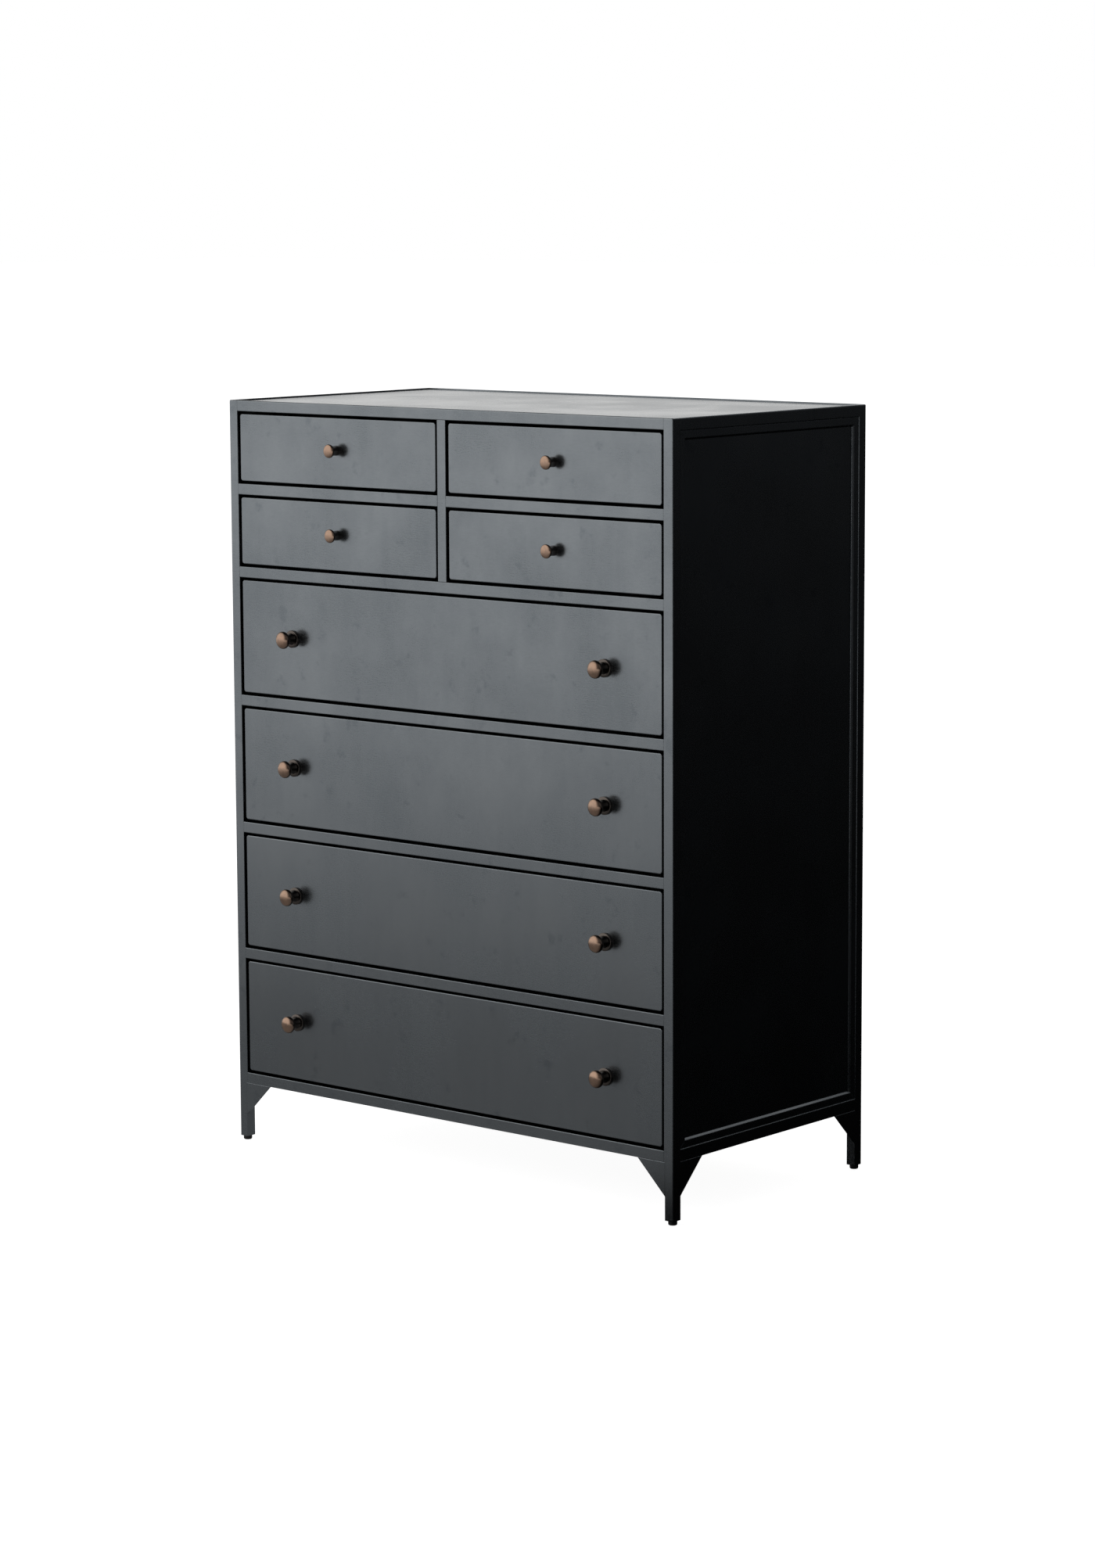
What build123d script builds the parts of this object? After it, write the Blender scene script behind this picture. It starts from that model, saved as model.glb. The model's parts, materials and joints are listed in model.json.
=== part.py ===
"""Tall steel chest of drawers: a welded angle frame, framed side panels and eight drawers.

Millimetres. +Z is up, -Y is the way the drawers open and +X is to the right as one faces
the drawers. The origin is on the floor, under the middle of the whole chest, knobs included.
"""
from build123d import *
import os

# ---------------------------------------------------------------- driving dimensions
WIDTH = 914.0            # over the posts
DEPTH = 483.0            # over the posts, knobs not counted
HEIGHT = 1219.0          # floor to the top rim
ANGLE = 3.0              # thickness of the angle bar that the frame is welded from
POST_FACE = 18.0         # leg of a post's angle seen from the front or the back
POST_SIDE = 18.0         # leg of a post's angle seen from the side
LEG_FACE = 16.0          # the closed leg below the rails, seen from the front or the back
LEG_SIDE = 18.0          # the same, seen from the side
LEG_WALL = 2.0
RAIL_FACE = 17.5         # height of every rail seen from the front or the back
SIDE_RAIL_FACE = 19.0    # height of the side rails
FLANGE = 15.0            # how far a rail's level flange reaches behind its upright one
LEG_CLEAR = 97.5         # floor to the underside of the lowest rails
SMALL_OPENING = 116.5    # clear height of the two upper rows
WIDE_OPENING = 191.5     # clear height of the four lower rows
SMALL_ROWS = 2
WIDE_ROWS = 4
DIVIDER = 17.5           # thickness of the upright between the small drawers
EDGE = 2.0               # radius along the frame's outer edges
CORNER = 2.2             # radius down the posts' outer corners
SOFT = 0.8               # radius along the edges of each opening

SHEET = 1.2              # panels, slides and drawer boxes
TOP_SHEET = 2.0          # top panel
TOP_DROP = 2.5           # how far the top panel lies below the rim
BEAD = 14.5              # width of the flat moulding round each side panel
BEAD_THICK = 3.5
BEAD_SLOPE = 2.9         # bevel along the inner edge of the moulding
BEAD_RECESS = 1.0        # face of the moulding behind the face of the frame
PANEL_TUCK = 5.0         # how far a side panel reaches behind the frame

GUSSET = 53.0            # corner plate, along the rail and down the leg alike
GLIDE = 7.0              # height of the plastic foot below the leg
GLIDE_RADIUS = 7.0
GLIDE_SOFT = 2.2
GLIDE_STEM = 3.5         # radius of the plug pushed into the foot plate
GLIDE_STEM_LENGTH = 9.0
FOOT_PLATE = 3.0         # plate that closes the bottom of a leg

GAP = 4.5                # clearance round every drawer front
RECESS = 1.5             # drawer fronts behind the face of the frame
FRONT_DEEP = 18.0        # depth of a drawer front's folded pan
FRONT_SHEET = 1.5
FRONT_LIP = 20.0         # return folded in along the back of the pan
FRONT_CORNER = 4.5
FRONT_SOFT = 1.2
BOX_LENGTH = 430.0
BOX_LIFT = 12.0          # drawer box above the bottom of its opening
SMALL_BOX = 86.0         # heights of the drawer boxes
WIDE_BOX = 150.0
SLIDE_SPACE = 12.5       # room for a slide at each side of a box
SLIDE_HEIGHT = 28.0
SLIDE_LIFT = 32.0        # middle of a slide above the bottom of its drawer box
SLIDE_LENGTH = 420.0
SLIDE_PLAY = 0.3         # running clearance, above and below
SLIDE_END_PLAY = 2.0     # clearance of the moving channel, at both ends
FIXED_LIP_GAP = 1.5      # lips of the fixed channel to the side of the drawer box
MOVING_LIP_GAP = 0.8     # lips of the moving channel to the web of the fixed one
SLIDE_SETBACK = 22.0     # front end of the fixed channel behind the frame's face
UPRIGHT_WIDE = 40.0      # slide upright, front to back
UPRIGHT_INSET = 60.0     # middle of each slide upright from the frame's face or back
WIDE_KNOB_SPREAD = 324.0  # knobs of a wide drawer from its middle
KNOB_RISE = 2.5          # knobs above the middle of their opening
SCREW = 2.0              # radius of a knob screw
SCREW_HEAD = 4.0
SCREW_HEAD_THICK = 2.4
SCREW_HEAD_SOFT = 1.0
SCREW_REACH = 7.0        # length of screw inside the knob

# small knob: a domed head on a plain neck; wide knob: a head, a waisted neck and a collar
SMALL_KNOB = {"neck": 8.0, "neck_end": 7.2, "neck_length": 13.0, "head": 10.8, "total": 20.0, "collar": 0.0}
WIDE_KNOB = {"neck": 9.0, "neck_end": 6.4, "neck_length": 19.0, "head": 14.0, "total": 29.0, "collar": 14.0}
COLLAR_THICK = 3.4
HEAD_FLARE = 1.5         # how far the back of a head leans away from the neck
HEAD_RIM = 3.0           # height of the rounded band between a head's back and its dome
HEAD_EASE = 0.8          # how much that band is drawn in at its edges

# ---------------------------------------------------------------- worked out from them
KNOB_REACH = WIDE_KNOB["total"] - RECESS
FRONT = (KNOB_REACH - DEPTH) / 2
BACK = FRONT + DEPTH
HALF = WIDTH / 2
OPENING = HALF - POST_FACE          # half the clear width between the posts
FRAME_IN = HALF - ANGLE             # inner faces of the posts' side legs
FRONT_BACK = FRONT + RECESS + FRONT_DEEP
PANEL_OUT = HALF - BEAD_RECESS - BEAD_THICK
PANEL_IN = PANEL_OUT - SHEET
SLIDE_START = FRONT + SLIDE_SETBACK
FLOOR_TOP = LEG_CLEAR + ANGLE + SHEET
TOP_UNDER = HEIGHT - TOP_DROP - TOP_SHEET
CLOSE = 0.01                        # tolerance when an edge is picked by its place

os.makedirs("parts", exist_ok=True)


def save(builder, name):
    """Label a finished piece and write it to its own file."""
    builder.part.label = name
    export_step(builder.part, f"parts/{name}.step")


def block(low, high, mode=Mode.ADD):
    """A rectangular block between two opposite corners, in either order, in the open BuildPart."""
    size = [abs(b - a) for a, b in zip(low, high)]
    middle = tuple((a + b) / 2 for a, b in zip(low, high))
    with Locations(middle):
        Box(*size, mode=mode)


def row_openings():
    """Bottom and top of every drawer opening, lowest row first."""
    rows = []
    bottom = LEG_CLEAR + RAIL_FACE
    for clear in [WIDE_OPENING] * WIDE_ROWS + [SMALL_OPENING] * SMALL_ROWS:
        rows.append((bottom, bottom + clear))
        bottom += clear + RAIL_FACE
    return rows


ROWS = row_openings()
DIVIDER_BOTTOM = ROWS[WIDE_ROWS][0]
DIVIDER_TOP = ROWS[-1][1]
SIDE_OPENING = (LEG_CLEAR + SIDE_RAIL_FACE, HEIGHT - SIDE_RAIL_FACE)


# ---------------------------------------------------------------- posts
def ease_upright_edge(x, y, into_x, into_y, bottom, top):
    """Round one upright edge of the open part, between two heights only.

    (x, y) is the sharp edge, and into_x and into_y point from it into the metal. The edge stays
    square where a rail is welded to it, so the joint is flush.
    """
    centre = (x + into_x * SOFT, y + into_y * SOFT)
    middle = (x + into_x * SOFT / 2, y + into_y * SOFT / 2)
    with BuildSketch(Plane.XY.offset(bottom)) as waste:
        with Locations(middle):
            Rectangle(SOFT, SOFT)
        with Locations(centre):
            Circle(SOFT, mode=Mode.SUBTRACT)
    extrude(waste.sketch, amount=top - bottom, mode=Mode.SUBTRACT)


def corner_post(name, side, outer_y, into_y):
    """An angle-bar post on a closed box leg, with the foot plate that holds its glide."""
    x = side * HALF
    into_x = -side
    face_end = x + into_x * POST_FACE
    side_end = outer_y + into_y * POST_SIDE
    in_x = x + into_x * ANGLE
    in_y = outer_y + into_y * ANGLE
    leg_x = x + into_x * LEG_FACE
    leg_y = outer_y + into_y * LEG_SIDE
    with BuildPart() as post:
        with BuildSketch(Plane.XY.offset(LEG_CLEAR)):
            with BuildLine():
                Polyline((x, outer_y), (face_end, outer_y), (face_end, in_y), (in_x, in_y),
                         (in_x, side_end), (x, side_end), close=True)
            make_face()
        extrude(amount=HEIGHT - LEG_CLEAR)
        block((x, outer_y, GLIDE), (leg_x, leg_y, LEG_CLEAR))
        block((in_x, in_y, GLIDE + FOOT_PLATE),
              (leg_x - into_x * LEG_WALL, leg_y - into_y * LEG_WALL, LEG_CLEAR), Mode.SUBTRACT)
        corner = [edge for edge in post.edges().filter_by(Axis.Z)
                  if abs(edge.center().X - x) < CLOSE and abs(edge.center().Y - outer_y) < CLOSE]
        fillet(corner, CORNER)
        rim = [edge for edge in post.edges().group_by(Axis.Z)[-1]
               if abs(edge.center().X - x) < 1 or abs(edge.center().Y - outer_y) < 1]
        fillet(rim, EDGE)
        with BuildSketch(Plane.XY.offset(GLIDE)):
            with Locations(((x + leg_x) / 2, (outer_y + leg_y) / 2)):
                Circle(GLIDE_STEM)
        extrude(amount=FOOT_PLATE, mode=Mode.SUBTRACT)
        if into_y > 0:
            for bottom, top in ROWS:
                ease_upright_edge(face_end, outer_y, side, into_y, bottom, top)
        ease_upright_edge(x, side_end, into_x, -into_y, *SIDE_OPENING)
    save(post, name)


corner_post("front_left_post", -1, FRONT, 1)
corner_post("front_right_post", 1, FRONT, 1)
corner_post("rear_left_post", -1, BACK, -1)
corner_post("rear_right_post", 1, BACK, -1)


# ---------------------------------------------------------------- rails
def ease_long_edges(part, axis, outer, edges):
    """Round long edges of a rail: outer tests an edge's middle, edges gives (height, radius)."""
    for height, radius in edges:
        found = [edge for edge in part.edges().filter_by(axis)
                 if outer(edge.center()) and abs(edge.center().Z - height) < CLOSE]
        fillet(found, radius)


def cross_rail(face, into_y, bottom, spans, level, edges):
    """An angle-bar rail across the front or the back, coped round the posts.

    spans lists (face start, face end, flange start, flange end) for each length, level is the
    height of the underside of the level flange.
    """
    with BuildPart() as rail:
        for face_start, face_end, flange_start, flange_end in spans:
            block((face_start, face, bottom), (face_end, face + into_y * ANGLE, bottom + RAIL_FACE))
            block((flange_start, face + into_y * ANGLE, level),
                  (flange_end, face + into_y * (ANGLE + FLANGE), level + ANGLE))
        ease_long_edges(rail, Axis.X, lambda middle: abs(middle.Y - face) < CLOSE, edges)
    return rail


FULL_SPAN = [(-OPENING, OPENING, -FRAME_IN, FRAME_IN)]
DRAWER_SPAN = [(-OPENING, OPENING, -PANEL_IN, PANEL_IN)]
HALF_SPANS = [(DIVIDER / 2, OPENING, DIVIDER / 2, PANEL_IN),
              (-OPENING, -DIVIDER / 2, -PANEL_IN, -DIVIDER / 2)]
TOP_RAIL = HEIGHT - RAIL_FACE
TOP_LEVEL = TOP_UNDER - ANGLE

TOP_EDGES = [(HEIGHT, EDGE), (TOP_RAIL, SOFT)]
BOTTOM_EDGES = [(LEG_CLEAR + RAIL_FACE, SOFT)]

for place, face, into_y in (("front", FRONT, 1), ("rear", BACK, -1)):
    save(cross_rail(face, into_y, TOP_RAIL, FULL_SPAN, TOP_LEVEL, TOP_EDGES), f"top_{place}_rail")
    save(cross_rail(face, into_y, LEG_CLEAR, FULL_SPAN, LEG_CLEAR, BOTTOM_EDGES), f"bottom_{place}_rail")

# Drawer rails, lowest first. The topmost one is in two lengths, one each side of the divider.
for number, (_, opening_top) in enumerate(ROWS[:-1], start=1):
    rail_top = opening_top + RAIL_FACE
    spans = HALF_SPANS if number == len(ROWS) - 1 else DRAWER_SPAN
    drawer_rail = cross_rail(FRONT, 1, opening_top, spans, rail_top - ANGLE,
                             [(opening_top, SOFT), (rail_top, SOFT)])
    save(drawer_rail, f"drawer_rail_{number}")


def side_rail(name, side, bottom, level, edges):
    """An angle-bar rail from a front post to a rear post."""
    x = side * HALF
    in_x = side * FRAME_IN
    ends = (FRONT + POST_SIDE, BACK - POST_SIDE)
    with BuildPart() as rail:
        block((x, ends[0], bottom), (in_x, ends[1], bottom + SIDE_RAIL_FACE))
        block((in_x, ends[0], level), (in_x - side * FLANGE, ends[1], level + ANGLE))
        ease_long_edges(rail, Axis.Y, lambda middle: abs(middle.X - x) < CLOSE, edges)
    save(rail, name)


for label, side in (("left", -1), ("right", 1)):
    side_rail(f"top_{label}_rail", side, SIDE_OPENING[1], TOP_LEVEL,
              [(HEIGHT, EDGE), (SIDE_OPENING[1], SOFT)])
    side_rail(f"bottom_{label}_rail", side, LEG_CLEAR, LEG_CLEAR, [(SIDE_OPENING[0], SOFT)])

# ---------------------------------------------------------------- corner plates and feet
with BuildPart() as gussets:
    for side in (-1, 1):
        leg_edge = side * (HALF - LEG_FACE)
        for face, into_y in ((FRONT, 1), (BACK, -1)):
            with BuildSketch(Plane.XZ.offset(-face)):
                with BuildLine():
                    Polyline((leg_edge, LEG_CLEAR), (leg_edge - side * GUSSET, LEG_CLEAR),
                             (leg_edge, LEG_CLEAR - GUSSET), close=True)
                make_face()
            extrude(amount=-into_y * ANGLE)
            side_edge = face + into_y * LEG_SIDE
            with BuildSketch(Plane.YZ.offset(side * HALF)):
                with BuildLine():
                    Polyline((side_edge, LEG_CLEAR), (side_edge + into_y * GUSSET, LEG_CLEAR),
                             (side_edge, LEG_CLEAR - GUSSET), close=True)
                make_face()
            extrude(amount=-side * ANGLE)
save(gussets, "leg_gussets")

glide_x = HALF - LEG_FACE / 2
GLIDE_CENTRES = [(side * glide_x, y) for side in (-1, 1) for y in (FRONT + LEG_SIDE / 2, BACK - LEG_SIDE / 2)]
with BuildPart() as glides:
    with BuildSketch(Plane.XY):
        with Locations(*GLIDE_CENTRES):
            Circle(GLIDE_RADIUS)
    extrude(amount=GLIDE)
    with BuildSketch(Plane.XY.offset(GLIDE)):
        with Locations(*GLIDE_CENTRES):
            Circle(GLIDE_STEM)
    extrude(amount=GLIDE_STEM_LENGTH)
    fillet(glides.edges().group_by(Axis.Z)[0], GLIDE_SOFT)
save(glides, "floor_glides")

# ---------------------------------------------------------------- panels
with BuildPart() as top_panel:
    block((-FRAME_IN, FRONT + ANGLE, TOP_UNDER), (FRAME_IN, BACK - ANGLE, TOP_UNDER + TOP_SHEET))
save(top_panel, "top_panel")

with BuildPart() as bottom_panel:
    block((-FRAME_IN, FRONT + ANGLE, LEG_CLEAR + ANGLE), (FRAME_IN, BACK - ANGLE, FLOOR_TOP))
save(bottom_panel, "bottom_panel")

BACK_PANEL_FACE = BACK - ANGLE - SHEET
with BuildPart() as back_panel:
    block((-FRAME_IN, BACK_PANEL_FACE, FLOOR_TOP), (FRAME_IN, BACK - ANGLE, TOP_LEVEL))
save(back_panel, "back_panel")

SIDE_DEPTH = (FRONT + POST_SIDE, BACK - POST_SIDE)
PANEL_Y = (SIDE_DEPTH[0] - PANEL_TUCK, SIDE_DEPTH[1] + PANEL_TUCK)
PANEL_Z = (SIDE_OPENING[0] - PANEL_TUCK, SIDE_OPENING[1] + PANEL_TUCK)
for label, side in (("left", -1), ("right", 1)):
    with BuildPart() as side_panel:
        block((side * PANEL_OUT, PANEL_Y[0], PANEL_Z[0]), (side * PANEL_IN, PANEL_Y[1], PANEL_Z[1]))
    save(side_panel, f"{label}_side_panel")


def moulding_strip(side, outer_start, outer_end, inner_end, inner_start):
    """One flat moulding in the frame's opening, mitred at both ends and bevelled along its inner edge."""
    with BuildPart() as strip:
        with BuildSketch(Plane.YZ.offset(side * PANEL_OUT)):
            with BuildLine():
                Polyline(outer_start, outer_end, inner_end, inner_start, close=True)
            make_face()
        extrude(amount=side * BEAD_THICK)
        face = strip.faces().sort_by(Axis.X)[-1 if side > 0 else 0]
        inner_edge = face.edges().sort_by(SortBy.LENGTH)[-2]
        chamfer(inner_edge, BEAD_SLOPE)
    return strip.part.solid()


# Flat mouldings round each side panel, four to a side.
near, far = SIDE_DEPTH
low, high = SIDE_OPENING
outer = [(near, low), (far, low), (far, high), (near, high)]
inner = [(near + BEAD, low + BEAD), (far - BEAD, low + BEAD),
         (far - BEAD, high - BEAD), (near + BEAD, high - BEAD)]
strips = [moulding_strip(side, outer[i], outer[i - 3], inner[i - 3], inner[i])
          for side in (-1, 1) for i in range(4)]
beading = Compound(label="side_beading", children=strips)
export_step(beading, "parts/side_beading.step")

# Hollow upright between the small drawers: its front edge lies flush with the rails.
with BuildPart() as divider:
    block((-DIVIDER / 2, FRONT, DIVIDER_BOTTOM), (DIVIDER / 2, BACK_PANEL_FACE, DIVIDER_TOP))
    fillet(divider.edges().filter_by(Axis.Z).group_by(Axis.Y)[0], SOFT)
    inside = DIVIDER / 2 - SHEET
    block((-inside, FRONT + SHEET, DIVIDER_BOTTOM), (inside, BACK_PANEL_FACE - SHEET, DIVIDER_TOP),
          Mode.SUBTRACT)
save(divider, "centre_divider")

# ---------------------------------------------------------------- slides, fixed half
with BuildPart() as uprights:
    for side in (-1, 1):
        for middle in (FRONT + UPRIGHT_INSET, BACK - UPRIGHT_INSET):
            start, end = middle - UPRIGHT_WIDE / 2, middle + UPRIGHT_WIDE / 2
            block((side * OPENING, start, FLOOR_TOP), (side * PANEL_IN, end, TOP_LEVEL))
            block((side * (OPENING + SHEET), start + SHEET, FLOOR_TOP),
                  (side * PANEL_IN, end - SHEET, TOP_LEVEL), Mode.SUBTRACT)
save(uprights, "slide_uprights")


def slide_height(row):
    """Height of the middle of the slides in a row."""
    return ROWS[row][0] + BOX_LIFT + SLIDE_LIFT


def fixed_channel(wall, towards, height):
    """A C-channel on an upright face at x = wall, open towards the drawer, shut at its back end."""
    end = SLIDE_START + SLIDE_LENGTH
    lip = wall + towards * (SLIDE_SPACE - FIXED_LIP_GAP)
    low, high = height - SLIDE_HEIGHT / 2, height + SLIDE_HEIGHT / 2
    block((wall, SLIDE_START, low), (lip, end + SHEET, high))
    block((wall + towards * SHEET, SLIDE_START, low + SHEET), (lip, end, high - SHEET), Mode.SUBTRACT)


with BuildPart() as channels:
    for row in range(len(ROWS)):
        for side in (-1, 1):
            fixed_channel(side * OPENING, -side, slide_height(row))
            if row >= WIDE_ROWS:
                fixed_channel(side * DIVIDER / 2, side, slide_height(row))
save(channels, "slide_channels")


# ---------------------------------------------------------------- drawers
def drawer_front(name, left, right, bottom, top, knobs):
    """A folded pan with rounded corners and a return round its back, drilled for its knobs."""
    width, height = right - left, top - bottom
    centre = ((left + right) / 2, (bottom + top) / 2)
    face = FRONT + RECESS
    with BuildPart() as pan:
        with BuildSketch(Plane.XZ.offset(-face)):
            with Locations(centre):
                RectangleRounded(width, height, FRONT_CORNER)
        extrude(amount=-FRONT_DEEP)
        fillet(pan.faces().sort_by(Axis.Y)[0].edges(), FRONT_SOFT)
        with BuildSketch(Plane.XZ.offset(-face - FRONT_SHEET)):
            with Locations(centre):
                RectangleRounded(width - 2 * FRONT_SHEET, height - 2 * FRONT_SHEET,
                                 FRONT_CORNER - FRONT_SHEET)
        extrude(amount=2 * FRONT_SHEET - FRONT_DEEP, mode=Mode.SUBTRACT)
        with BuildSketch(Plane.XZ.offset(-face - FRONT_SHEET)):
            with Locations(centre):
                Rectangle(width - 2 * FRONT_LIP, height - 2 * FRONT_LIP)
        extrude(amount=FRONT_SHEET - FRONT_DEEP, mode=Mode.SUBTRACT)
        with BuildSketch(Plane.XZ.offset(-face)):
            with Locations(*knobs):
                Circle(SCREW)
        extrude(amount=-FRONT_SHEET, mode=Mode.SUBTRACT)
    save(pan, name)


def drawer_box(name, left, right, bottom, height, knobs):
    """The open box behind a front, folded from sheet, with a front wall for the knob screws."""
    near, far = FRONT_BACK, FRONT_BACK + BOX_LENGTH
    with BuildPart() as box:
        block((left, near, bottom), (right, far, bottom + height))
        block((left + SHEET, near + SHEET, bottom + SHEET), (right - SHEET, far - SHEET, bottom + height),
              Mode.SUBTRACT)
        with BuildSketch(Plane.XZ.offset(-near)):
            with Locations(*knobs):
                Circle(SCREW)
        extrude(amount=-SHEET, mode=Mode.SUBTRACT)
    save(box, name)


def drawer_slides(name, left, right, height):
    """The moving half of both slides: C-channels on the sides of the box, inside the fixed ones."""
    near = FRONT_BACK + SLIDE_END_PLAY
    far = SLIDE_START + SLIDE_LENGTH - SLIDE_END_PLAY
    half = SLIDE_HEIGHT / 2 - SHEET - SLIDE_PLAY
    reach = SLIDE_SPACE - SHEET - MOVING_LIP_GAP
    with BuildPart() as slides:
        for wall, towards in ((left, -1), (right, 1)):
            block((wall, near, height - half), (wall + towards * reach, far, height + half))
            block((wall + towards * SHEET, near, height - half + SHEET),
                  (wall + towards * reach, far, height + half - SHEET), Mode.SUBTRACT)
    save(slides, name)


def knob_profile(plane, shape):
    """Half section of a knob: across is radius, up is distance from the drawer front."""
    total, head, neck, neck_end = shape["total"], shape["head"], shape["neck"], shape["neck_end"]
    head_back = shape["neck_length"] + HEAD_FLARE
    rim = head_back + HEAD_RIM
    foot = [(0, 0), (neck, 0)]
    if shape["collar"]:
        foot = [(0, 0), (shape["collar"], 0), (shape["collar"], COLLAR_THICK), (neck, COLLAR_THICK)]
    with BuildSketch(plane) as section:
        with BuildLine():
            base = Polyline(*foot)
            waist = Line(base @ 1, (neck_end, shape["neck_length"]))
            flare = Line(waist @ 1, (head - HEAD_EASE, head_back))
            band = ThreePointArc(flare @ 1, (head, (head_back + rim) / 2), (head - HEAD_EASE, rim))
            Spline(band @ 1, (0, total), tangents=[(-0.8, 0.6), (-1, 0)])
            Line((0, total), (0, 0))
        make_face()
    return section.sketch


def knob_set(name, knobs, shape):
    """The knobs of one drawer and the screws that hold them from inside the box."""
    face = FRONT + RECESS
    head_face = FRONT_BACK + SHEET
    with BuildPart() as metal:
        for x, z in knobs:
            section = knob_profile(Plane(origin=(x, face, z), x_dir=(1, 0, 0), z_dir=(0, 0, -1)), shape)
            revolve(section, axis=Axis((x, face, z), (0, 1, 0)))
        with BuildSketch(Plane.XZ.offset(-face)):
            with Locations(*knobs):
                Circle(SCREW)
        extrude(amount=SCREW_REACH, mode=Mode.SUBTRACT)
    with BuildPart() as screws:
        with BuildSketch(Plane.XZ.offset(-head_face)):
            with Locations(*knobs):
                Circle(SCREW)
        extrude(amount=head_face - face + SCREW_REACH)
        with BuildSketch(Plane.XZ.offset(-head_face)):
            with Locations(*knobs):
                Circle(SCREW_HEAD)
        extrude(amount=-SCREW_HEAD_THICK)
        fillet(screws.faces().sort_by(Axis.Y)[-1].edges(), SCREW_HEAD_SOFT)
    pieces = Compound(label=name, children=[*metal.part.solids(), *screws.part.solids()])
    export_step(pieces, f"parts/{name}.step")


def drawer(name, row, left, right, knob_xs, box_height, shape):
    """All pieces of one drawer, for the opening between left and right in a row."""
    bottom, top = ROWS[row]
    middle = (bottom + top) / 2 + KNOB_RISE
    knobs = [(x, middle) for x in knob_xs]
    box_left, box_right = left + SLIDE_SPACE, right - SLIDE_SPACE
    drawer_front(f"{name}_front", left + GAP, right - GAP, bottom + GAP, top - GAP, knobs)
    drawer_box(f"{name}_box", box_left, box_right, bottom + BOX_LIFT, box_height, knobs)
    drawer_slides(f"{name}_slides", box_left, box_right, slide_height(row))
    knob_set(f"{name}_knobs", knobs, shape)


for row in range(WIDE_ROWS):
    spread = (-WIDE_KNOB_SPREAD, WIDE_KNOB_SPREAD)
    drawer(f"wide_drawer_{row + 1}", row, -OPENING, OPENING, spread, WIDE_BOX, WIDE_KNOB)
for row, level in ((WIDE_ROWS, "lower"), (WIDE_ROWS + 1, "upper")):
    for label, left, right in (("left", -OPENING, -DIVIDER / 2), ("right", DIVIDER / 2, OPENING)):
        drawer(f"{level}_{label}_drawer", row, left, right, ((left + right) / 2,), SMALL_BOX, SMALL_KNOB)
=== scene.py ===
# %% [markdown]
# # A tall steel chest of drawers, dressed for the studio
#
# The chest is a welded frame of angle bar, blackened, waxed and lacquered, with eight sheet-steel
# drawers and turned bronze knobs. Its sizes, its moving parts and its places come from the packed
# model, so this script never measures or moves them. It adds what a maker adds last: the finish
# on the steel, the turned knobs, their screws and the folded hems of the drawer boxes.

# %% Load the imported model
import bpy
import json
from math import cos, pi, radians, sin
from mathutils import Matrix, Vector

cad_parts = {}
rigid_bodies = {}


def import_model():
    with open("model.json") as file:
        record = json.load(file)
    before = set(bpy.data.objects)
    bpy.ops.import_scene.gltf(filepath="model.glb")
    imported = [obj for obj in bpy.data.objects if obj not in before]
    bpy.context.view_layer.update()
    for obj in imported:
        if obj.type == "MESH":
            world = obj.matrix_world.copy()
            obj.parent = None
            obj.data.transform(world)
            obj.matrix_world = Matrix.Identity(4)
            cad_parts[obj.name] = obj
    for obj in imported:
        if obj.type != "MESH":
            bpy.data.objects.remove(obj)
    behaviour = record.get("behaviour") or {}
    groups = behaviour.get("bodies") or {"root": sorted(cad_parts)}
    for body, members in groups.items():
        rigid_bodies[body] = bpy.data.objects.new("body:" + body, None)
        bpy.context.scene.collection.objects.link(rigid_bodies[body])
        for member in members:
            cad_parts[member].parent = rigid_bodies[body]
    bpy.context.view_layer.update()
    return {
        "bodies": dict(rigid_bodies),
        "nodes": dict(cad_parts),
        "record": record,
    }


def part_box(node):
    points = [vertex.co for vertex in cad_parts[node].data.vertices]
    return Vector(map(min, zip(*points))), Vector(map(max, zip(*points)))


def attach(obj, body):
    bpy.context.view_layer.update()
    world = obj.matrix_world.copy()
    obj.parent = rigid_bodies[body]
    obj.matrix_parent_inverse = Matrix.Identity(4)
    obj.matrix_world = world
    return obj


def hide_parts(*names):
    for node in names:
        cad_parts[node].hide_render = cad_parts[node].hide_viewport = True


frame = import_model()
bpy.ops.object.select_all(action="DESELECT")
drawers = sorted(body for body in frame["bodies"] if f"{body}_front" in frame["nodes"])

# %% [markdown]
# ## The camera
#
# A chest looks right when it is seen as a person sees it: from standing eye height, some way off
# and past one corner. A long lens keeps the uprights nearly parallel. The camera's place is given
# from the front right foot, because that corner of the chest is the one nearest to the lens.

# %% Camera
MM = 0.001
FRONT_RIGHT = Vector((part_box("front_right_post")[1][0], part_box("front_right_post")[0][1], 0.0))
CAMERA_FROM_CORNER = Vector((3.754, -4.712, 1.558))
CAMERA_TURN, CAMERA_DIP, CAMERA_ROLL = 40.32, 8.32, -0.27
LENS = 93.94

camera_data = bpy.data.cameras.new("studio_camera")
camera_data.lens = LENS
camera_data.sensor_width = 36.0
camera = bpy.data.objects.new("studio_camera", camera_data)
aim = (Matrix.Rotation(radians(CAMERA_TURN), 3, "Z")
       @ Matrix.Rotation(radians(90 - CAMERA_DIP), 3, "X")
       @ Matrix.Rotation(radians(CAMERA_ROLL), 3, "Z"))
camera.location = FRONT_RIGHT + CAMERA_FROM_CORNER
camera.rotation_euler = aim.to_euler()
bpy.context.collection.objects.link(camera)
bpy.context.scene.camera = camera
print("camera at", [round(v, 3) for v in camera.location])

# %% [markdown]
# ## Nodes without the wiring
#
# Every finish below is a small graph of nodes. This helper adds one node, sets its values and joins
# its inputs in a single call, so a finish reads from top to bottom like a recipe.

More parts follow.
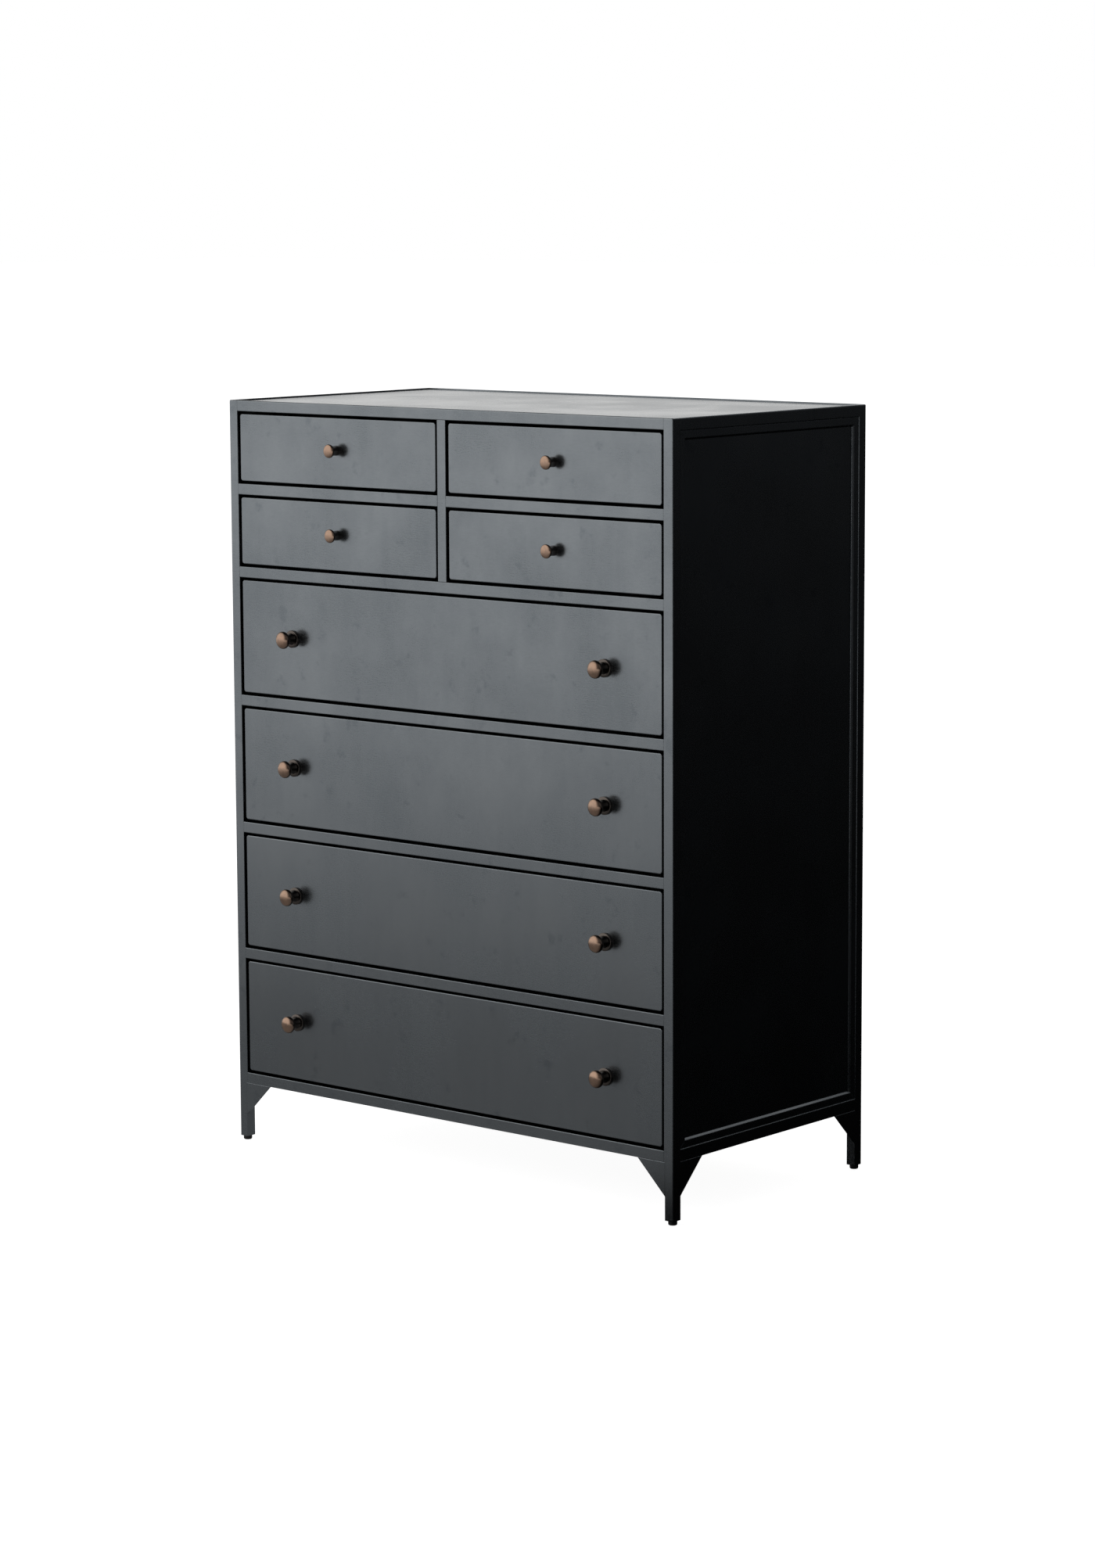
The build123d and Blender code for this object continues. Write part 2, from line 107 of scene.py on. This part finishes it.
# %% A helper for shader graphs
def node(tree, kind, links=(), **values):
    """Add a node, set its properties, and feed its inputs. links maps an input to a value or a socket."""
    made = tree.nodes.new(kind)
    for name, value in values.items():
        setattr(made, name, value)
    for socket, value in dict(links).items():
        if isinstance(value, bpy.types.NodeSocket):
            tree.links.new(value, made.inputs[socket])
        else:
            made.inputs[socket].default_value = value
    return made


def remap(tree, value, low_in, high_in, low_out, high_out, smooth=True):
    """Stretch a value from one range to another, with soft ends."""
    kind = "SMOOTHSTEP" if smooth else "LINEAR"
    links = {"Value": value, "From Min": low_in, "From Max": high_in, "To Min": low_out, "To Max": high_out}
    return node(tree, "ShaderNodeMapRange", links, interpolation_type=kind).outputs["Result"]


def arithmetic(tree, operation, first, second):
    """One sum, product or the like of two values."""
    return node(tree, "ShaderNodeMath", {0: first, 1: second}, operation=operation).outputs["Value"]


def mix_colours(tree, amount, dark, pale):
    """A colour between two: dark where the amount is 0, pale where it is 1."""
    mixed = node(tree, "ShaderNodeMix", {"Factor": amount}, data_type="RGBA")
    for socket in mixed.inputs:
        if socket.type == "RGBA":
            socket.default_value = dark if socket.name == "A" else pale
    return [socket for socket in mixed.outputs if socket.type == "RGBA"][0]


# %% [markdown]
# ## The studio
#
# Lacquered steel has almost no colour of its own: it shows the room. The room here is a plain soft
# studio, built in the world shader as broad glowing walls with feathered edges. A wall behind the
# chest on the left lights the top, one in front on the left lights the drawers, and the right has
# only a dim glow, so the side panel falls to near black. The shade between the walls is a little
# blue. The lens itself sees plain white behind the chest.

# %% World
def towards(turn, rise):
    """A direction: turn in degrees from straight back, positive to the right, and rise above level."""
    across, up = radians(turn), radians(rise)
    return (sin(across) * cos(up), cos(across) * cos(up), sin(up))


# turn, rise, cosine where the glow starts, cosine where it is full, strength
GLOWS = (
    (-48, 12, 0.72, 0.95, 0.94),
    (-132, 8, 0.60, 0.93, 1.06),
    (0, 52, 0.80, 0.97, 0.40),
    (170, 30, 0.80, 0.97, 0.10),
    (34, 5, 0.985, 0.999, 0.12),
    (108, 28, 0.80, 0.97, 0.16),
)
AMBIENT = 0.012
GLOW_TINT = (1.0, 0.99, 0.97, 1)
SHADE_TINT = (0.76, 0.92, 1.30, 1)

world = bpy.data.worlds.new("studio")
bpy.context.scene.world = world
world.use_nodes = True
sky = world.node_tree
sky.nodes.clear()
direction = node(sky, "ShaderNodeTexCoord").outputs["Generated"]
total = 0.0
for turn, rise, start, full, strength in GLOWS:
    aim_at = towards(turn, rise)
    facing = node(sky, "ShaderNodeVectorMath", {0: direction, 1: aim_at}, operation="DOT_PRODUCT")
    glow = remap(sky, facing.outputs["Value"], start, full, 0.0, strength)
    total = arithmetic(sky, "ADD", glow, total)
walls = node(sky, "ShaderNodeBackground", {"Strength": total, "Color": GLOW_TINT})
shade = node(sky, "ShaderNodeBackground", {"Strength": AMBIENT, "Color": SHADE_TINT})
room = node(sky, "ShaderNodeAddShader", {0: walls.outputs[0], 1: shade.outputs[0]})
white = node(sky, "ShaderNodeBackground", {"Strength": 1.0, "Color": (1, 1, 1, 1)})
seen = node(sky, "ShaderNodeLightPath").outputs["Is Camera Ray"]
choice = node(sky, "ShaderNodeMixShader", {0: seen, 1: room.outputs[0], 2: white.outputs[0]})
node(sky, "ShaderNodeOutputWorld", {"Surface": choice.outputs[0]})
bpy.context.scene.view_settings.view_transform = "Standard"
print("studio walls:", len(GLOWS))

# %% [markdown]
# The floor is pale. What the steel sees of it is another matter: a studio floor is only bright
# where the lamps reach it, so the part near the chest is dim, it brightens with distance, and the
# right-hand side stays dark.

# %% Floor
FLOOR_SIZE = 120.0
SEEN_GLOW = 0.93                 # light of the floor as the lens sees it
NEAR, FAR = 0.12, 1.15           # distance as a power of ten, in metres
NEAR_GLOW, FAR_GLOW = 0.20, 0.82
DARK_SIDE_TURN = 50              # heading of the unlit side
DARK_SIDE_GLOW = 0.012
bpy.ops.mesh.primitive_plane_add(size=FLOOR_SIZE, location=(0, 0, 0))
floor = bpy.context.object
floor.name = "studio_floor"
bpy.ops.object.mode_set(mode="EDIT")
bpy.ops.mesh.select_all(action="SELECT")
bpy.ops.mesh.subdivide(number_cuts=3)
bpy.ops.object.mode_set(mode="OBJECT")

paint = bpy.data.materials.new("pale_floor")
paint.use_nodes = True
tree = paint.node_tree
tree.nodes.clear()
place = node(tree, "ShaderNodeTexCoord").outputs["Object"]
reach = node(tree, "ShaderNodeVectorMath", {0: place}, operation="LENGTH").outputs["Value"]
decades = arithmetic(tree, "LOGARITHM", reach, 10.0)
near_to_far = remap(tree, decades, NEAR, FAR, NEAR_GLOW, FAR_GLOW)
heading = node(tree, "ShaderNodeVectorMath", {0: place}, operation="NORMALIZE").outputs["Vector"]
unlit = towards(DARK_SIDE_TURN, 0)
right = node(tree, "ShaderNodeVectorMath", {0: heading, 1: unlit}, operation="DOT_PRODUCT")
lit_side = remap(tree, right.outputs["Value"], -0.60, 0.40, 1.0, DARK_SIDE_GLOW)
glow = arithmetic(tree, "MULTIPLY", near_to_far, lit_side)
mirrored = node(tree, "ShaderNodeEmission", {"Strength": glow, "Color": (1, 1, 1, 1)})
lit = node(tree, "ShaderNodeEmission", {"Strength": SEEN_GLOW, "Color": (1, 1, 1, 1)})
matt = node(tree, "ShaderNodeBsdfDiffuse", {"Color": (0.82, 0.82, 0.82, 1)})
pale = node(tree, "ShaderNodeAddShader", {0: lit.outputs[0], 1: matt.outputs[0]})
seen = node(tree, "ShaderNodeLightPath").outputs["Is Camera Ray"]
choice = node(tree, "ShaderNodeMixShader", {0: seen, 1: mirrored.outputs[0], 2: pale.outputs[0]})
node(tree, "ShaderNodeOutputMaterial", {"Surface": choice.outputs[0]})
floor.data.materials.append(paint)

# %% [markdown]
# ## Blackened steel
#
# The steel is chemically blackened, waxed by hand and sealed. Close to, it is cloudy: broad patches
# where the acid bit differently, soft smudges and slanting strokes from the cloth, and a fine grain.
# Every sharp edge is filed a little round. Sheet that thin is also never quite flat, so long
# shallow waves bend its reflections. All of it is read from Object coordinates, and every piece of
# the chest shares one origin, so the clouds run on across a welded joint.

# %% Blackened steel
def new_material(name):
    """An empty material and its node tree."""
    made = bpy.data.materials.new(name)
    made.use_nodes = True
    made.node_tree.nodes.clear()
    return made, made.node_tree


def noise(tree, vector, scale, detail=3.0, rough=0.55):
    """A cloud of noise, in features per metre."""
    links = {"Vector": vector, "Scale": scale, "Detail": detail, "Roughness": rough}
    return node(tree, "ShaderNodeTexNoise", links).outputs["Fac"]


WIPE_TURN = (0.0, radians(58), radians(12))
WIPE_STRETCH = (1.0, 1.0, 0.22)
FILED_EDGE = 1.4 * MM


def blackened_steel(name, dark, pale, stretch, wave, rough_low, rough_high):
    """Cloudy satin steel. stretch squeezes the grain along each axis, wave is the sheet's unevenness."""
    material, tree = new_material(name)
    place = node(tree, "ShaderNodeTexCoord").outputs["Object"]
    drawn = node(tree, "ShaderNodeMapping", {"Vector": place, "Scale": stretch}).outputs["Vector"]
    wiped = node(tree, "ShaderNodeMapping", {"Vector": place, "Rotation": WIPE_TURN, "Scale": WIPE_STRETCH})
    broad = noise(tree, place, 5.0, 4.0, 0.6)
    strokes = noise(tree, wiped.outputs["Vector"], 26.0, 4.0, 0.65)
    smudge = noise(tree, place, 30.0, 3.0, 0.6)
    grain = noise(tree, drawn, 420.0, 2.0, 0.6)
    clouds = arithmetic(tree, "ADD", remap(tree, broad, 0.30, 0.72, 0.12, 0.66),
                        remap(tree, strokes, 0.30, 0.72, -0.03, 0.12))
    rubbed = remap(tree, smudge, 0.60, 0.80, 0.0, 0.60)
    speck = remap(tree, grain, 0.25, 0.75, -0.07, 0.07, smooth=False)
    mix = arithmetic(tree, "ADD", arithmetic(tree, "SUBTRACT", clouds, rubbed), speck)
    rough = arithmetic(tree, "ADD", remap(tree, broad, 0.3, 0.7, rough_high, rough_low),
                       remap(tree, grain, 0.3, 0.7, 0.03, -0.03, smooth=False))
    waves = noise(tree, place, 3.2, 1.0, 0.4)
    filed = node(tree, "ShaderNodeBevel", {"Radius": FILED_EDGE}, samples=6)
    ripple = node(tree, "ShaderNodeBump", {"Height": waves, "Distance": wave, "Strength": 1.0,
                                           "Normal": filed.outputs["Normal"]})
    tooth = node(tree, "ShaderNodeBump", {"Height": grain, "Distance": 0.00002, "Strength": 0.08,
                                          "Normal": ripple.outputs["Normal"]})
    steel = node(tree, "ShaderNodeBsdfPrincipled", {
        "Base Color": mix_colours(tree, mix, dark, pale), "Roughness": rough,
        "Normal": tooth.outputs["Normal"], "Metallic": 1.0})
    node(tree, "ShaderNodeOutputMaterial", {"Surface": steel.outputs[0]})
    return material


STEEL_DARK = (0.192, 0.212, 0.230, 1)
STEEL_PALE = (0.282, 0.302, 0.318, 1)
front_steel = blackened_steel("blackened_steel", STEEL_DARK, STEEL_PALE, (0.2, 1.0, 1.0), 0.0014, 0.20, 0.29)
panel_steel = blackened_steel("blackened_sheet", STEEL_DARK, STEEL_PALE, (1.0, 1.0, 0.5), 0.0035, 0.23, 0.32)
inner_steel = blackened_steel("inner_steel", (0.105, 0.107, 0.112, 1), (0.150, 0.151, 0.156, 1),
                              (1.0, 0.3, 1.0), 0.002, 0.42, 0.52)
print("steel finishes made")

# %% [markdown]
# ## Bronze, zinc and plastic
#
# The knobs are antique bronze: warm on the crowns, where hands polish them, and dark in the neck, where
# the patina stays. Round the rim the dome is darker too, and that is painted shade: the parts that turn
# away from the front get the dark colour. Pointiness would find the hollows, but it needs a dense mesh,
# so the patina is laid by distance from the drawer's face and by a cloud of noise, and the painted rim
# shade by which way the surface faces. The slides are bright zinc with a faint spangle, and the feet
# are moulded plastic with a fine tooth.

# %% Bronze
BRONZE_DARK = (0.115, 0.100, 0.090, 1)
BRONZE_BRIGHT = (0.42, 0.28, 0.205, 1)
POLISH_FROM, POLISH_FULL = 11 * MM, 17 * MM      # distance in front of the frame's face
CROWN_FULL, CROWN_END = -0.97, -0.35             # how squarely the surface faces the front: polished crown there, painted rim shade where it turns away
SHADED_RIM_POLISH = 0.12


def patinated_and_shaded_bronze():
    """Bronze polished on the crown, with painted shade round the rim, darker towards the drawer, with a
    cloudy patina.
    """
    material, tree = new_material("antique_bronze")
    place = node(tree, "ShaderNodeTexCoord").outputs["Object"]
    depth = node(tree, "ShaderNodeSeparateXYZ", {"Vector": place}).outputs["Y"]
    front_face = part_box("front_left_post")[0][1]
    outer = remap(tree, depth, front_face - POLISH_FULL, front_face - POLISH_FROM, 1.0, 0.0)
    normal = node(tree, "ShaderNodeTexCoord").outputs["Normal"]
    facing_front = node(tree, "ShaderNodeSeparateXYZ", {"Vector": normal}).outputs["Y"]
    # Painted shade: surfaces that turn away from the front, round the dome's rim, get the dark bronze
    # colour.
    crown_polish_and_rim_shade = remap(tree, facing_front, CROWN_FULL, CROWN_END, 1.0, SHADED_RIM_POLISH)
    # This mask joins the patina by depth with the painted rim shade.
    polish_and_rim_shade = arithmetic(tree, "MULTIPLY", outer, crown_polish_and_rim_shade)
    cloud = noise(tree, place, 160.0, 3.0, 0.6)
    worn_and_rim_shade = arithmetic(tree, "MULTIPLY", polish_and_rim_shade, remap(tree, cloud, 0.25, 0.6, 0.72, 1.0))
    rough = remap(tree, cloud, 0.3, 0.7, 0.17, 0.26)
    bronze = node(tree, "ShaderNodeBsdfPrincipled", {
        "Base Color": mix_colours(tree, worn_and_rim_shade, BRONZE_DARK, BRONZE_BRIGHT), "Roughness": rough,
        "Metallic": 1.0})
    node(tree, "ShaderNodeOutputMaterial", {"Surface": bronze.outputs[0]})
    return material


bronze = patinated_and_shaded_bronze()


# %% Zinc and plastic
def zinc_plate():
    """Bright zinc with a faint crystal spangle."""
    material, tree = new_material("slide_zinc")
    place = node(tree, "ShaderNodeTexCoord").outputs["Object"]
    cells = node(tree, "ShaderNodeTexVoronoi", {"Vector": place, "Scale": 160.0}).outputs["Color"]
    value = node(tree, "ShaderNodeSeparateColor", {"Color": cells}).outputs["Red"]
    rough = remap(tree, value, 0.0, 1.0, 0.26, 0.40, smooth=False)
    zinc = node(tree, "ShaderNodeBsdfPrincipled", {"Base Color": (0.56, 0.57, 0.58, 1), "Roughness": rough,
                                                   "Metallic": 1.0})
    node(tree, "ShaderNodeOutputMaterial", {"Surface": zinc.outputs[0]})
    return material


def moulded_plastic():
    """Black plastic with the fine tooth of its mould."""
    material, tree = new_material("black_plastic")
    place = node(tree, "ShaderNodeTexCoord").outputs["Object"]
    tooth = noise(tree, place, 1800.0, 2.0, 0.5)
    bump = node(tree, "ShaderNodeBump", {"Height": tooth, "Distance": 0.00005, "Strength": 0.5})
    rough = remap(tree, tooth, 0.3, 0.7, 0.45, 0.6, smooth=False)
    plastic = node(tree, "ShaderNodeBsdfPrincipled", {
        "Base Color": (0.018, 0.018, 0.019, 1), "Roughness": rough, "Normal": bump.outputs["Normal"]})
    node(tree, "ShaderNodeOutputMaterial", {"Surface": plastic.outputs[0]})
    return material


zinc = zinc_plate()
plastic = moulded_plastic()

# %% Give every carried-over node its finish
FINISH = {"blackened_steel": front_steel, "inner_steel": inner_steel, "antique_bronze": bronze,
          "slide_zinc": zinc, "black_plastic": plastic}
PANELS = ("left_side_panel", "right_side_panel", "side_beading", "back_panel", "top_panel")
slot_of = {part["node"]: part["material_slot"] for part in frame["record"]["subparts"]}
for name, cad_node in frame["nodes"].items():
    finish = panel_steel if name in PANELS else FINISH[slot_of[name]]
    cad_node.data.materials.clear()
    cad_node.data.materials.append(finish)
print("finished", len(frame["nodes"]), "nodes")

# %% [markdown]
# ## Turned knobs
#
# Each knob is turned from bronze bar. A small one has a plain neck; a wide drawer's knob stands on
# a round collar, narrows to a waist and ends in a heavier head. A revolved curve would do, but a
# lathe is closer to pulling rings out of one circle: every ring is extruded along the axis and then
# resized about its own middle. The dome follows a quarter of an ellipse, so its rings are worked
# out by a formula, and the last ring is merged into a single point.

# %% Knob sections: how far each ring stands from the drawer, and its radius, in mm
RING_POINTS = 64
DOME_RINGS = 14
SMALL_FOOT = ((0.0, 8.0), (12.6, 7.2), (13.0, 7.5))
WIDE_FOOT = ((0.0, 13.5), (0.5, 14.0), (2.9, 14.0), (3.4, 13.5), (3.5, 9.4), (4.2, 9.0), (11.5, 7.6),
             (18.6, 6.4), (19.0, 6.7))
HEAD_BACK = ((0.9, 1.2), (1.5, 0.5), (2.2, 0.1), (3.0, 0.0), (3.9, 0.12))


def knob_rings(foot, radius, total):
    """Every ring of a knob: its foot, the turned-over back of the head, and the dome."""
    neck_end = foot[-1][0]
    rings = list(foot) + [(neck_end + ahead, radius - in_from_rim) for ahead, in_from_rim in HEAD_BACK]
    rim, widest = rings[-1]
    for step in range(1, DOME_RINGS + 1):
        angle = pi / 2 * step / DOME_RINGS
        rings.append((rim + (total - rim) * sin(angle), widest * cos(angle)))
    return rings


# %% Turn a knob
def edit(action="SELECT"):
    """Enter edit mode on the active mesh, with all of it selected unless action says otherwise."""
    bpy.ops.object.mode_set(mode="EDIT")
    bpy.ops.mesh.select_all(action=action)


def leave():
    """Close the mesh up: merge doubles, turn the faces outwards and go back to object mode."""
    bpy.ops.mesh.select_all(action="SELECT")
    bpy.ops.mesh.remove_doubles(threshold=0.000001)
    bpy.ops.mesh.normals_make_consistent(inside=False)
    bpy.ops.object.mode_set(mode="OBJECT")


def settle(piece, name):
    """Name a piece, put its place into its mesh and let go of it."""
    piece.name = name
    piece.data.name = name
    bpy.ops.object.transform_apply(location=True, rotation=True, scale=True)
    bpy.ops.object.select_all(action="DESELECT")


def turn_knob(name, rings, x, face, z):
    """Pull a knob out of a circle that lies on the drawer's face."""
    start, radius = rings[0]
    bpy.ops.mesh.primitive_circle_add(vertices=RING_POINTS, radius=radius * MM, fill_type="NGON",
                                      location=(x, face - start * MM, z), rotation=(radians(90), 0, 0))
    knob = bpy.context.object
    bpy.ops.object.transform_apply(location=False, rotation=True, scale=False)
    edit()
    bpy.ops.mesh.duplicate()
    for (last, last_radius), (here, here_radius) in zip(rings, rings[1:]):
        bpy.ops.mesh.extrude_region_move(TRANSFORM_OT_translate={"value": (0, (last - here) * MM, 0)})
        if here_radius < 0.001:
            bpy.ops.mesh.merge(type="CENTER")
            continue
        grow = here_radius / last_radius
        bpy.ops.transform.resize(value=(grow, 1, grow), center_override=(x, face - here * MM, z))
    leave()
    bpy.ops.object.shade_smooth_by_angle(angle=radians(50))
    settle(knob, name)
    return knob


# %% [markdown]
# The screw that holds a knob comes from inside the drawer. Its head is a short cylinder with a
# softened rim and a round socket, and it shows when the drawer is open.

# %% Knob screws
HEAD_RADIUS, HEAD_HEIGHT, HEAD_SOFT = 4.0, 2.4, 0.7
SOCKET_RIM, SOCKET_DEEP = 1.9, 1.4


def flat_faces(piece, axis, place):
    """Select the faces of a mesh in edit mode that lie in one plane."""
    bpy.ops.object.mode_set(mode="OBJECT")
    for face in piece.data.polygons:
        there = abs((piece.matrix_world @ face.center)[axis] - place) < 0.01 * MM
        face.select = there and abs(face.normal[axis]) > 0.9
    bpy.ops.object.mode_set(mode="EDIT")


def screw_head(name, x, back, z):
    """One pan head, with its flat towards the front and its socket towards the back."""
    centre = (x, back - HEAD_HEIGHT * MM / 2, z)
    bpy.ops.mesh.primitive_cylinder_add(vertices=32, radius=HEAD_RADIUS * MM, depth=HEAD_HEIGHT * MM,
                                        location=centre, rotation=(radians(90), 0, 0))
    head = bpy.context.object
    bpy.ops.object.transform_apply(location=False, rotation=True, scale=False)
    edit("DESELECT")
    bpy.ops.mesh.select_mode(type="FACE")
    flat_faces(head, 1, back)
    bpy.ops.mesh.bevel(offset=HEAD_SOFT * MM, segments=4, affect="EDGES")
    bpy.ops.mesh.select_all(action="DESELECT")
    flat_faces(head, 1, back)
    bpy.ops.mesh.inset(thickness=(SOCKET_RIM - HEAD_SOFT) * MM)
    bpy.ops.mesh.extrude_region_move(TRANSFORM_OT_translate={"value": (0, -SOCKET_DEEP * MM, 0)})
    leave()
    bpy.ops.object.shade_smooth_by_angle(angle=radians(40))
    settle(head, name)
    return head


# %% Knobs and screws on every drawer
for body in drawers:
    low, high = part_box(f"{body}_knobs")
    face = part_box(f"{body}_front")[0][1]
    radius = (high[2] - low[2]) / 2
    middle = (high[2] + low[2]) / 2
    pair = high[0] - low[0] > 3 * radius
    rings = knob_rings(WIDE_FOOT if pair else SMALL_FOOT, radius / MM, (face - low[1]) / MM)
    places = {f"{body}_left": low[0] + radius, f"{body}_right": high[0] - radius}
    for label, x in places.items() if pair else [(body, low[0] + radius)]:
        knob = turn_knob(f"{label}_knob", rings, x, face, middle)
        head = screw_head(f"{label}_knob_screw", x, high[1], middle)
        for piece, finish, slot in ((knob, bronze, "antique_bronze"), (head, zinc, "slide_zinc")):
            piece.data.materials.append(finish)
            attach(piece, body)
        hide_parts(f"{body}_knobs")
print("turned the knobs:", RING_POINTS, "points round,", len(rings), "rings on the last one")

# %% [markdown]
# ## Hems on the drawer boxes
#
# Sheet is never left with a raw edge where hands go. The top of each drawer box is folded over into
# a narrow hem, which also stiffens the wall. It is made from one plane the size of the box: inset
# by the width of the hem, opened in the middle, pulled down to its depth, and bevelled till round.

# %% Drawer hems
HEM_WIDE, HEM_DEEP, HEM_PROUD, HEM_SOFT = 3.2, 7.0, 0.35, 1.3


def box_hem(name, low, high):
    """A folded rim round the open top of a drawer box."""
    x, y = (low[0] + high[0]) / 2, (low[1] + high[1]) / 2
    bpy.ops.mesh.primitive_plane_add(size=1, location=(x, y, high[2] + HEM_PROUD * MM))
    hem = bpy.context.object
    hem.scale = (high[0] - low[0] + 2 * HEM_PROUD * MM, high[1] - low[1] + 2 * HEM_PROUD * MM, 1)
    bpy.ops.object.transform_apply(location=False, rotation=False, scale=True)
    edit()
    bpy.ops.mesh.select_mode(type="FACE")
    bpy.ops.mesh.inset(thickness=HEM_WIDE * MM)
    bpy.ops.mesh.delete(type="FACE")
    bpy.ops.mesh.select_all(action="SELECT")
    bpy.ops.mesh.duplicate()
    bpy.ops.mesh.extrude_region_move(TRANSFORM_OT_translate={"value": (0, 0, -HEM_DEEP * MM)})
    leave()
    bevel = hem.modifiers.new("rolled", "BEVEL")
    bevel.width = HEM_SOFT * MM
    bevel.segments = 4
    bpy.ops.object.modifier_apply(modifier="rolled")
    bpy.ops.object.shade_smooth_by_angle(angle=radians(50))
    settle(hem, name)
    return hem


for body in drawers:
    hem = box_hem(f"{body}_hem", *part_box(f"{body}_box"))
    hem.data.materials.append(inner_steel)
    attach(hem, body)
print("hemmed", len(drawers), "drawer boxes")
